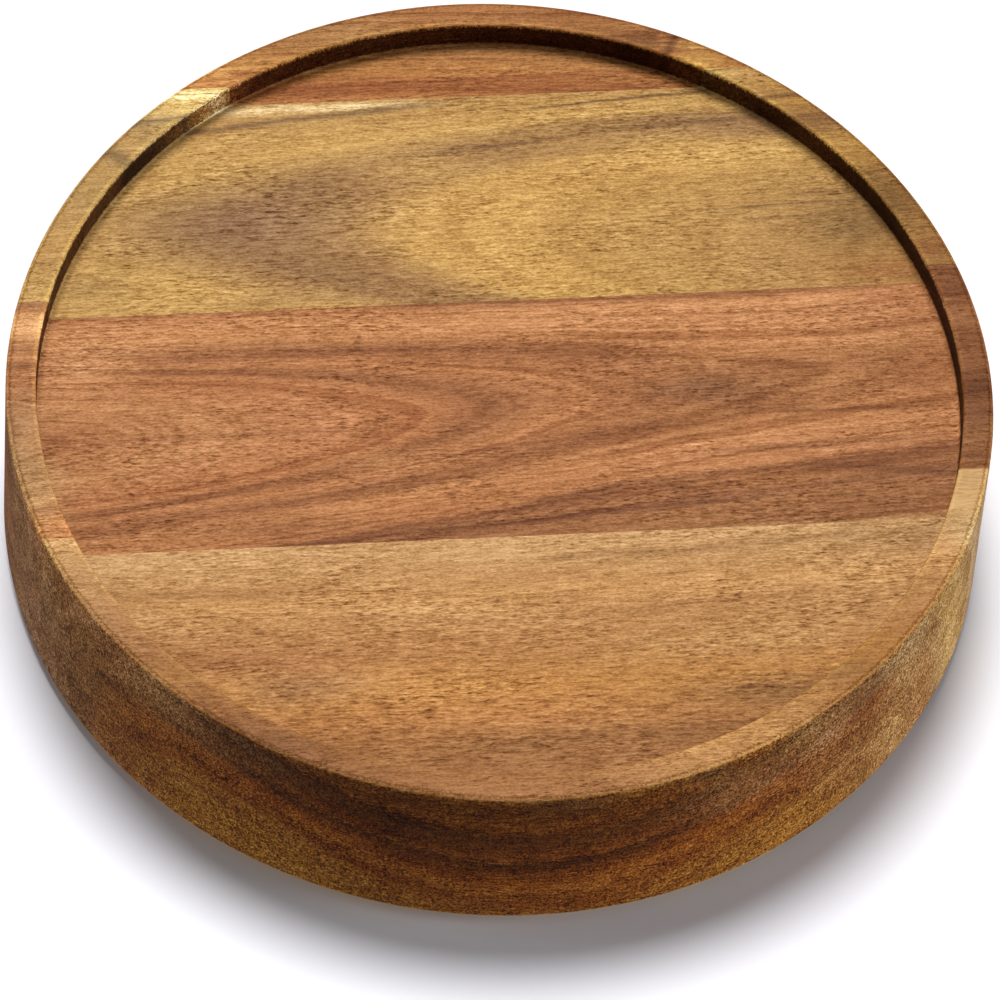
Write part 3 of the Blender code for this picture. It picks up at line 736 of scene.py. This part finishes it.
def steel_like(name, colour, roughness, scratch, stain):
    """Plated or polished metal: fine scratches, faint stains and a slight unevenness."""
    g = Graph(bpy.data.materials.new(name))
    x, y, z = g.place()
    scratches = g.noise((x / 0.12, y / 0.9, z / 0.35), detail=3.0, roughness=0.7) - 0.5
    stains = g.noise((x / 3.0, y / 3.0, z / 3.0), detail=3.0) - 0.5
    tone = 1.0 + scratches * scratch + stains * stain
    g.finish(tone, linear(*colour), roughness + scratches * 0.15 + stains * 0.25)
    g.shader.inputs["Metallic"].default_value = 1.0
    g.bump(scratches, 0.00001 * scratch)
    return g.owner


def turned_aluminium(name):
    """Lathe lines round the axis, a satin sheen and a few dull patches."""
    g = Graph(bpy.data.materials.new(name))
    x, y, z = g.place()
    axis = g.math("SQRT", x * x + y * y)
    lines = g.noise((axis / 0.11, z / 0.11, 0.0), detail=3.0, roughness=0.8) - 0.5
    dull = g.noise((x / 7.0, y / 7.0, z / 7.0), detail=3.0) - 0.5
    tone = 1.0 + lines * 0.18 + dull * 0.16
    g.finish(tone, linear(222, 223, 226), 0.34 + lines * 0.2 + dull * 0.25)
    g.shader.inputs["Metallic"].default_value = 1.0
    g.bump(lines, 0.00001)
    return g.owner


def moulded(name, colour, roughness, grain, cloud, height):
    """Nylon or rubber: the mould's fine grain and a cloudy tone."""
    g = Graph(bpy.data.materials.new(name))
    x, y, z = g.place()
    pits = g.noise((x / grain, y / grain, z / grain), detail=3.0, roughness=0.7) - 0.5
    clouds = g.noise((x / 4.0, y / 4.0, z / 4.0)) - 0.5
    g.finish(1.0 + clouds * cloud + pits * cloud, linear(*colour), roughness + pits * 0.2)
    g.shader.inputs["Specular IOR Level"].default_value = 0.4
    g.bump(pits, height)
    return g.owner


# Meshes


def arc(centre, radius, start, end, steps):
    """Points of an arc in a profile's (radius, height) plane, from one angle to another in degrees."""
    angles = [math.radians(start + (end - start) * i / steps) for i in range(steps + 1)]
    return [(centre[0] + radius * math.cos(a), centre[1] + radius * math.sin(a)) for a in angles]


def hoop(bm, radii, height):
    """A hoop of vertices round Z at one height, with a radius for each."""
    angles = [math.tau * i / len(radii) for i in range(len(radii))]
    return [bm.verts.new((r * math.cos(a), r * math.sin(a), height)) for r, a in zip(radii, angles)]


def join(bm, hoops, ring=False):
    """Faces from each hoop to the next. A ring's last hoop meets its first, and any other ends in flat faces."""
    for lower, upper in zip(hoops, hoops[1:] + hoops[:1] if ring else hoops[1:]):
        for i in range(len(lower)):
            after = (i + 1) % len(lower)
            bm.faces.new((lower[i], lower[after], upper[after], upper[i]))
    if not ring:
        bm.faces.new(hoops[0])
        bm.faces.new(hoops[-1])


def turned(profile, segments, ring=False):
    """A bmesh of a profile turned about Z. A ring's profile is closed."""
    bm = bmesh.new()
    join(bm, [hoop(bm, [radius] * segments, height) for radius, height in profile], ring)
    return bm


def piece(name, bm, material, sharp_from=SHARP_FROM):
    bmesh.ops.recalc_face_normals(bm, faces=bm.faces)
    mesh = bpy.data.meshes.new(name)
    bm.to_mesh(mesh)
    bm.free()
    mesh.shade_smooth()
    mesh.set_sharp_from_angle(angle=math.radians(sharp_from))
    mesh.materials.append(material)
    made = bpy.data.objects.new(name, mesh)
    bpy.context.scene.collection.objects.link(made)
    return made


def stand_in(made, node):
    """The piece takes its CAD node's place and body, and the node is hidden."""
    body = next(name for name, nodes in frame["record"]["behaviour"]["bodies"].items() if node in nodes)
    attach(made, body)
    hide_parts(node)
    return made


def cut(made, cutters):
    """Cuts the cutters out of the piece, and leaves none of them behind."""
    for cutter in cutters:
        step = made.modifiers.new(cutter.name, "BOOLEAN")
        step.object = cutter
        step.solver = "EXACT"
    bpy.context.view_layer.update()
    evaluated = made.evaluated_get(bpy.context.evaluated_depsgraph_get())
    whole = bpy.data.meshes.new_from_object(evaluated)
    made.modifiers.clear()
    made.data = whole
    whole.shade_smooth()
    whole.set_sharp_from_angle(angle=math.radians(SHARP_FROM))
    for cutter in cutters:
        bpy.data.objects.remove(cutter, do_unlink=True)
    return made


def middle(node):
    low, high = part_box(node)
    return (low + high) / 2


def tray_profile():
    edge, inner = TRAY_EDGE_ROUND, RIM_INNER_ROUND
    return [
        (POCKET_RADIUS, POCKET_CEILING),
        *arc((POCKET_RADIUS + inner, TRAY_BOTTOM + inner), inner, 180, 270, 5),
        *arc((TRAY_RADIUS - edge, TRAY_BOTTOM + edge), edge, 270, 360, 7),
        *arc((TRAY_RADIUS - edge, TRAY_TOP - edge), edge, 0, 90, 7),
        *arc((RECESS_RADIUS + inner, TRAY_TOP - inner), inner, 90, 180, 6),
        *arc((RECESS_RADIUS - RECESS_COVE, TRAY_FLOOR + RECESS_COVE), RECESS_COVE, 0, -90, 8),
    ]


def base_profile():
    edge, radius = BASE_EDGE_ROUND, BASE_HIGH.x
    return [
        *arc((radius - edge, BASE_LOW.z + edge), edge, 270, 360, 6),
        *arc((radius - edge, BASE_HIGH.z - edge), edge, 0, 90, 6),
    ]


def sliced(bm, front, rear):
    """Keeps the solid between two planes across Y, and closes it where it is cut."""
    for level, outward in ((front, -1.0), (rear, 1.0)):
        if level is None:
            continue
        result = bmesh.ops.bisect_plane(
            bm,
            geom=bm.verts[:] + bm.edges[:] + bm.faces[:],
            plane_co=(0.0, level, 0.0),
            plane_no=(0.0, outward, 0.0),
            clear_outer=True,
        )
        rim = [edge for edge in result["geom_cut"] if isinstance(edge, bmesh.types.BMEdge)]
        bmesh.ops.contextual_create(bm, geom=rim)


def stave_sides(nodes):
    """Each stave's front and rear along Y, half a glue line off the seams. The outermost ones aren't cut."""
    order = sorted(nodes, key=lambda node: middle(node).y)
    seams = [(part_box(front)[1].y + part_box(rear)[0].y) / 2 for front, rear in zip(order, order[1:])]
    fronts = [None, *(seam + GLUE_LINE / 2 for seam in seams)]
    rears = [*(seam - GLUE_LINE / 2 for seam in seams), None]
    return dict(zip(order, zip(fronts, rears)))


def build_board(woods, profile, segments, drills):
    """The board's staves. Drills are (middle, radius, lowest level, highest level)."""
    for node, (front, rear) in stave_sides(woods).items():
        bm = turned(profile, segments)
        sliced(bm, front, rear)
        made = piece(f"{node}_wood", bm, wood(f"wood_{node}", woods[node]))
        low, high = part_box(node)
        cutters = []
        for spot, radius, start, end in drills:
            if low.y < spot.y < high.y:
                cutters.append(pin(f"drill_{len(cutters)}", radius, start, end))
                cutters[-1].location = (spot.x, spot.y, 0.0)
        if cutters:
            cut(made, cutters)
        stand_in(made, node)


def pilot(screw):
    """The drill for a screw's hole: a gap wider than its shank, and a gap deeper than its tip."""
    low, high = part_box(screw)
    return middle(screw), SHANK_RADIUS + SCREW_GAP, low.z - SCREW_GAP, high.z + SCREW_GAP


def build_boards():
    numbers = range(1, 5)
    up = [pilot(f"outer_ring_screw_{number}") for number in numbers]
    down = [pilot(f"{kind}_screw_{number}") for kind in ("inner_ring", "foot") for number in numbers]
    hole = next(o for o in frame["record"]["physics"]["openings"] if o["name"] == "screw_access_hole")["box_m"]
    access = Vector(((hole[0][0] + hole[1][0]) / 2, 0.0, 0.0))
    down.append((access, ACCESS_HOLE_RADIUS, BASE_LOW.z - CUTTER_OVERSHOOT, BASE_HIGH.z + CUTTER_OVERSHOOT))
    build_board(TRAY_WOOD, tray_profile(), TRAY_SEGMENTS, up)
    build_board(BASE_WOOD, base_profile(), BASE_SEGMENTS, down)


# Bearing, screws and feet


def pin(name, radius, start, end):
    """A plain round cutter."""
    return piece(name, turned([(radius, start), (radius, end)], CUTTER_SEGMENTS), None)


def block(name, low, high):
    """A plain square cutter."""
    low, high = Vector(low), Vector(high)
    bm = bmesh.new()
    place = Matrix.Translation((high + low) / 2) @ Matrix.Diagonal((*(high - low), 1))
    bmesh.ops.create_cube(bm, matrix=place)
    return piece(name, bm, None)


def ring_profile(low, high, groove_face, plain_face, groove_middle):
    """A bearing ring's closed section, with its ball groove and small chamfers."""
    half = math.degrees(math.acos(RING_SPLIT / 2 / BALL_GROOVE_RADIUS))
    turn = 1 if groove_middle == 0 else -1
    inward = math.copysign(RING_CHAMFER, plain_face - groove_face)
    centre = (PITCH_RADIUS, BALL_LEVEL)
    return [
        (groove_face + inward, low),
        (groove_face, low + RING_CHAMFER),
        *arc(centre, BALL_GROOVE_RADIUS, groove_middle - turn * half, groove_middle + turn * half, 12),
        (groove_face, high - RING_CHAMFER),
        (groove_face + inward, high),
        (plain_face - inward, high),
        (plain_face, high - RING_CHAMFER),
        (plain_face, low + RING_CHAMFER),
        (plain_face - inward, low),
    ]


def countersink(name, node):
    """A cutter for the screw's countersunk hole, the gap wider than the screw all over."""
    low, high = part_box(node)
    head = (high.x - low.x) / 2
    slope = (head - SHANK_RADIUS) / SCREW_HEAD_SLOPE_HEIGHT
    mouth = head + SCREW_GAP * math.hypot(1.0, slope)
    bore = SHANK_RADIUS + SCREW_GAP
    shoulder = (mouth - bore) / slope
    profile = [(bore, -SCREW_BORE_DEPTH), (bore, -shoulder), (mouth, 0.0), (mouth, CUTTER_OVERSHOOT)]
    return piece(name, turned(profile, CUTTER_SEGMENTS), None)


def build_ring(kind, finish, cutters=()):
    """The outer ring is screwed upwards into the tray, and the inner ring downwards into the base."""
    node = f"bearing_{kind}"
    low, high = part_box(node)
    outer = kind == "outer_ring"
    if outer:
        groove_middle, groove_face, plain_face = 0, PITCH_RADIUS + RING_SPLIT / 2, high.x
    else:
        groove_middle, groove_face, plain_face = 180, PITCH_RADIUS - RING_SPLIT / 2, INNER_BORE
    section = ring_profile(low.z, high.z, groove_face, plain_face, groove_middle)
    ring = piece(f"{node}_turned", turned(section, RING_SEGMENTS, ring=True), finish)
    cutters = list(cutters)
    for number in range(1, 5):
        hole = countersink(f"{node}_hole_{number}", f"{kind}_screw_{number}")
        spot = middle(f"{kind}_screw_{number}")
        hole.location = (spot.x, spot.y, low.z if outer else high.z)
        hole.rotation_euler.x = math.pi if outer else 0.0
        cutters.append(hole)
    stand_in(cut(ring, cutters), node)


def build_bearing():
    finish = turned_aluminium("aluminium_turned")
    spot = middle("ball_filling_plug")
    outwards = (0.0, math.pi / 2, math.atan2(spot.y, spot.x))
    filling = pin("filling_hole", PLUG_RADIUS + SCREW_GAP, *FILLING_HOLE_ENDS)
    filling.location = (0.0, 0.0, BALL_LEVEL)
    filling.rotation_euler = outwards
    build_ring("outer_ring", finish, [filling])
    build_ring("inner_ring", finish)

    brass = steel_like("brass_turned", (214, 184, 120), 0.30, 0.25, 0.25)
    start, end = PITCH_RADIUS + BALL_GROOVE_RADIUS + SCREW_GAP, OUTER_RING_HIGH.x - SCREW_GAP
    neck = PLUG_RADIUS - PLUG_CHAMFER
    profile = [(neck, start), (PLUG_RADIUS, start + PLUG_CHAMFER), (PLUG_RADIUS, end - PLUG_CHAMFER), (neck, end)]
    plug = piece("ball_filling_plug_turned", turned(profile, PLUG_SEGMENTS), brass)
    half, reach = PLUG_SLOT_WIDTH / 2, 0.004
    slot = block("plug_slot", (-half, -reach, end - PLUG_SLOT_DEPTH), (half, reach, end + CUTTER_OVERSHOOT))
    plug = cut(plug, [slot])
    plug.location = (0.0, 0.0, BALL_LEVEL)
    plug.rotation_euler = outwards
    stand_in(plug, "ball_filling_plug")


def build_balls():
    finish = steel_like("ball_steel_polished", (226, 227, 230), 0.10, 0.05, 0.08)
    profile = [(max(r, 0.00002), h) for r, h in arc((0.0, 0.0), BALL_RADIUS, -90, 90, 20)]
    count = sum(name.startswith("ball_") and name[5:].isdigit() for name in frame["nodes"])
    for number in range(1, count + 1):
        ball = piece(f"ball_{number:02d}_polished", turned(profile, BALL_SEGMENTS), finish, sharp_from=60.0)
        ball.location = middle(f"ball_{number:02d}")
        stand_in(ball, f"ball_{number:02d}")
    return count


def build_cage(count):
    """A crown cage: a low rail round the bearing, with an open pocket from above for each ball."""
    low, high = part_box("ball_cage")
    inside, outside = PITCH_RADIUS - CAGE_THICKNESS / 2, PITCH_RADIUS + CAGE_THICKNESS / 2
    pitch = math.tau * PITCH_RADIUS / count
    mouth, lip = BALL_GROOVE_RADIUS + CAGE_POCKET_GAP, CAGE_POCKET_CHAMFER
    pocket = arc((0.0, 0.0), BALL_GROOVE_RADIUS, -180, 0, 24)
    bottom, top = low.z - BALL_LEVEL, high.z - BALL_LEVEL
    land = [(-pitch / 2 + (pitch / 2 - mouth - lip) * i / 3, top) for i in range(4)]
    upper_edge = [*land, (-mouth, top - lip), *pocket, (mouth, top - lip), (mouth + lip, top)]
    bm = bmesh.new()
    sections = []
    for ball in range(count):
        for along, height in upper_edge:
            turn = (ball * pitch + along) / PITCH_RADIUS
            corners = (inside, bottom), (outside, bottom), (outside, height), (inside, height)
            sections.append([bm.verts.new((r * math.cos(turn), r * math.sin(turn), h)) for r, h in corners])
    for section, after in zip(sections, sections[1:] + sections[:1]):
        for corner in range(4):
            following = (corner + 1) % 4
            bm.faces.new((section[corner], after[corner], after[following], section[following]))
    cage = piece("ball_cage_moulded", bm, moulded("nylon_moulded", (232, 228, 214), 0.5, 0.25, 0.12, 0.00002))
    cage.location = (0.0, 0.0, BALL_LEVEL)
    stand_in(cage, "ball_cage")


def threaded(length, head, start):
    """A wood screw's bmesh, which points down -Z from the top of its head. Its thread begins at start."""
    bm = bmesh.new()
    hoops = []
    for step in range(int((length + start) / THREAD_STEP)):
        level = step * THREAD_STEP - length
        shank = min(1.0, (level + length) / SCREW_POINT_LENGTH + 0.08)
        run_out = max(0.0, min(1.0, (start - level) / (2 * THREAD_PITCH)))
        radii = []
        for i in range(SCREW_SEGMENTS):
            phase = (level / THREAD_PITCH + i / SCREW_SEGMENTS) % 1.0
            crest = max(0.0, 1.0 - abs(phase - 0.5) / 0.2) * run_out
            radii.append(SHANK_RADIUS * shank * (THREAD_CORE + (1.0 - THREAD_CORE) * crest))
        hoops.append(hoop(bm, radii, level))
    join(bm, hoops + [hoop(bm, [radius] * SCREW_SEGMENTS, level) for radius, level in head])
    return bm


def screw(node, head, start, slot, finish, upside_down):
    low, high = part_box(node)
    made = piece(f"{node}_plated", threaded(high.z - low.z, head, start), finish, sharp_from=40.0)
    reach, depth = slot
    width = DRIVER_SLOT_WIDTH / 2
    across = block("driver_across", (-reach, -width, -depth), (reach, width, CUTTER_OVERSHOOT))
    along = block("driver_along", (-width, -reach, -depth), (width, reach, CUTTER_OVERSHOOT))
    made = cut(made, [across, along])
    spot = middle(node)
    made.location = (spot.x, spot.y, low.z if upside_down else high.z)
    made.rotation_euler.x = math.pi if upside_down else 0.0
    stand_in(made, node)


def build_screws():
    finish = steel_like("zinc_plate", (205, 204, 192), 0.28, 0.22, 0.30)
    core = SHANK_RADIUS * THREAD_CORE
    low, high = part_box("outer_ring_screw_1")
    radius, slope = (high.x - low.x) / 2, SCREW_HEAD_SLOPE_HEIGHT
    head = [(core, -slope - 0.0007), (SHANK_RADIUS, -slope), (radius - 0.0001, -0.0001), (radius - 0.0003, 0.0)]
    for number in range(1, 5):
        for kind, upside_down in (("outer", True), ("inner", False)):
            node = f"{kind}_ring_screw_{number}"
            screw(node, head, RING_SCREW_THREAD_TOP, RING_SCREW_SLOT, finish, upside_down)
    low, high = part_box("foot_screw_1")
    radius, rise, bend = (high.x - low.x) / 2, FOOT_SCREW_HEAD_HEIGHT, FOOT_SCREW_HEAD_ROUND
    dome = arc((radius - bend, -bend), bend, 0, 90, 6)
    pan = [(core, -rise), (radius, -rise), *dome, (0.5 * radius, 0.0)]
    for number in range(1, 5):
        screw(f"foot_screw_{number}", pan, -rise - 0.0006, FOOT_SCREW_SLOT, finish, True)


def build_feet():
    finish = moulded("rubber_moulded", (52, 51, 50), 0.75, 0.2, 0.5, 0.00004)
    for number in range(1, 5):
        node = f"rubber_foot_{number}"
        low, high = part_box(node)
        height, radius = high.z - low.z, (high.x - low.x) / 2
        tread, edge, bore = radius - FOOT_TAPER, FOOT_EDGE_ROUND, SHANK_RADIUS + SCREW_GAP
        groove = (tread - edge + FOOT_RECESS_RADIUS) / 2
        profile = [
            (FOOT_RECESS_RADIUS, 0.0002),
            (FOOT_RECESS_RADIUS + 0.0002, 0.0),
            (groove - 0.0004, 0.0),
            (groove - 0.0002, 0.0003),
            (groove + 0.0002, 0.0003),
            (groove + 0.0004, 0.0),
            *arc((tread - edge, edge), edge, 270, 360, 6),
            (radius, height - 0.0003),
            (radius - 0.0003, height),
            (bore, height),
            (bore, FOOT_RECESS_DEPTH),
            (FOOT_RECESS_RADIUS, FOOT_RECESS_DEPTH),
        ]
        foot = piece(f"{node}_moulded", turned(profile, FOOT_SEGMENTS, ring=True), finish)
        spot = middle(node)
        foot.location = (spot.x, spot.y, low.z)
        stand_in(foot, node)


# Stage, light and camera

PAPER_TONE = 0.79
FLOOR_TINT = (0.985, 0.98, 1.03)
FLOOR_HALF_SIZE = 6.0
FLOOR_GLOW = (0.40, 0.39, 0.39)
CEILING_GLOW = (0.165, 0.175, 0.185)
HORIZON = 0.08  # the glow changes from this much below it to this much above
BACKDROP = (0.96, 0.96, 0.96)


def stage_floor():
    g = Graph(bpy.data.materials.new("studio_paper"))
    x, y, _ = g.place()
    tooth = g.noise((x / 1.5, y / 1.5, 0.0), detail=3.0)
    g.finish(PAPER_TONE + tooth * 0.02, FLOOR_TINT, 0.9)
    g.shader.inputs["Specular IOR Level"].default_value = 0.1
    g.set(Alpha=1.0 - g.add("ShaderNodeNewGeometry", output="Backfacing"))
    bm = bmesh.new()
    bmesh.ops.create_grid(bm, x_segments=1, y_segments=1, size=FLOOR_HALF_SIZE)
    floor = piece("studio_floor", bm, g.owner)
    floor.visible_diffuse = False  # its glow comes from the world, so that the underside isn't black
    floor.visible_glossy = False
    floor.visible_shadow = False


def around(azimuth, elevation, distance, target):
    """A point around the target. Azimuth 0 is where the camera stands, and 90 is to its right."""
    turn = math.radians(CAMERA_AZIMUTH + azimuth)
    rise = math.radians(elevation)
    flat = Vector((math.sin(turn), -math.cos(turn), 0.0)) * math.cos(rise)
    return Vector(target) + (flat + Vector((0.0, 0.0, math.sin(rise)))) * distance


def distant_softbox(name, azimuth, elevation, spread, strength):
    """A large light far away, which lights the whole floor evenly. Spread is its width in degrees."""
    light = bpy.data.lights.new(name, "SUN")
    light.angle = math.radians(spread)
    light.energy = strength
    lamp = bpy.data.objects.new(name, light)
    bpy.context.scene.collection.objects.link(lamp)
    lamp.location = around(azimuth, elevation, 2.0, (0.0, 0.0, 0.0))
    lamp.rotation_euler = (-lamp.location).to_track_quat("-Z", "Y").to_euler()


def stage_lights():
    distant_softbox("key_above", 193.0, 71.2, 22.0, 3.73)
    distant_softbox("fill_right", 84.0, 9.0, 25.0, 2.2)
    distant_softbox("fill_left", 268.0, 9.0, 25.0, 0.85)
    world = bpy.data.worlds.new("studio")
    g = Graph(world)
    height = g.split(g.add("ShaderNodeTexCoord", output="Generated"))[2]
    glow = g.mix(g.add("ShaderNodeMapRange", (height, -HORIZON, HORIZON)), FLOOR_GLOW, CEILING_GLOW)
    seen = g.add("ShaderNodeLightPath", output="Is Camera Ray")
    g.feed(g.tree.nodes["Background"].inputs["Color"], g.mix(seen, glow, BACKDROP))
    bpy.context.scene.world = world


def stage_camera():
    data = bpy.data.cameras.new("camera")
    data.lens = CAMERA_LENS
    data.clip_start = 0.1
    data.clip_end = 20.0
    camera = bpy.data.objects.new("camera", data)
    bpy.context.scene.collection.objects.link(camera)
    stand = around(0.0, CAMERA_ELEVATION, CAMERA_DISTANCE, (0.0, 0.0, TRAY_TOP))
    heading = math.radians(CAMERA_PAN_RIGHT - CAMERA_AZIMUTH)
    pitch = math.radians(CAMERA_ELEVATION + CAMERA_TILT_DOWN)
    forward = Vector((math.sin(heading), math.cos(heading), 0.0)) * math.cos(pitch)
    forward.z = -math.sin(pitch)
    right = forward.cross(Vector((0.0, 0.0, 1.0))).normalized()
    upward = right.cross(forward)
    roll = math.radians(CAMERA_ROLL)
    rolled_right = right * math.cos(roll) + upward * math.sin(roll)
    rolled_up = upward * math.cos(roll) - right * math.sin(roll)
    turn = Matrix((rolled_right, rolled_up, -forward)).transposed().to_4x4()
    camera.matrix_world = Matrix.Translation(stand) @ turn
    bpy.context.scene.camera = camera


bpy.context.scene.view_settings.view_transform = "Standard"
build_boards()
build_bearing()
build_cage(build_balls())
build_screws()
build_feet()
stage_floor()
stage_lights()
stage_camera()
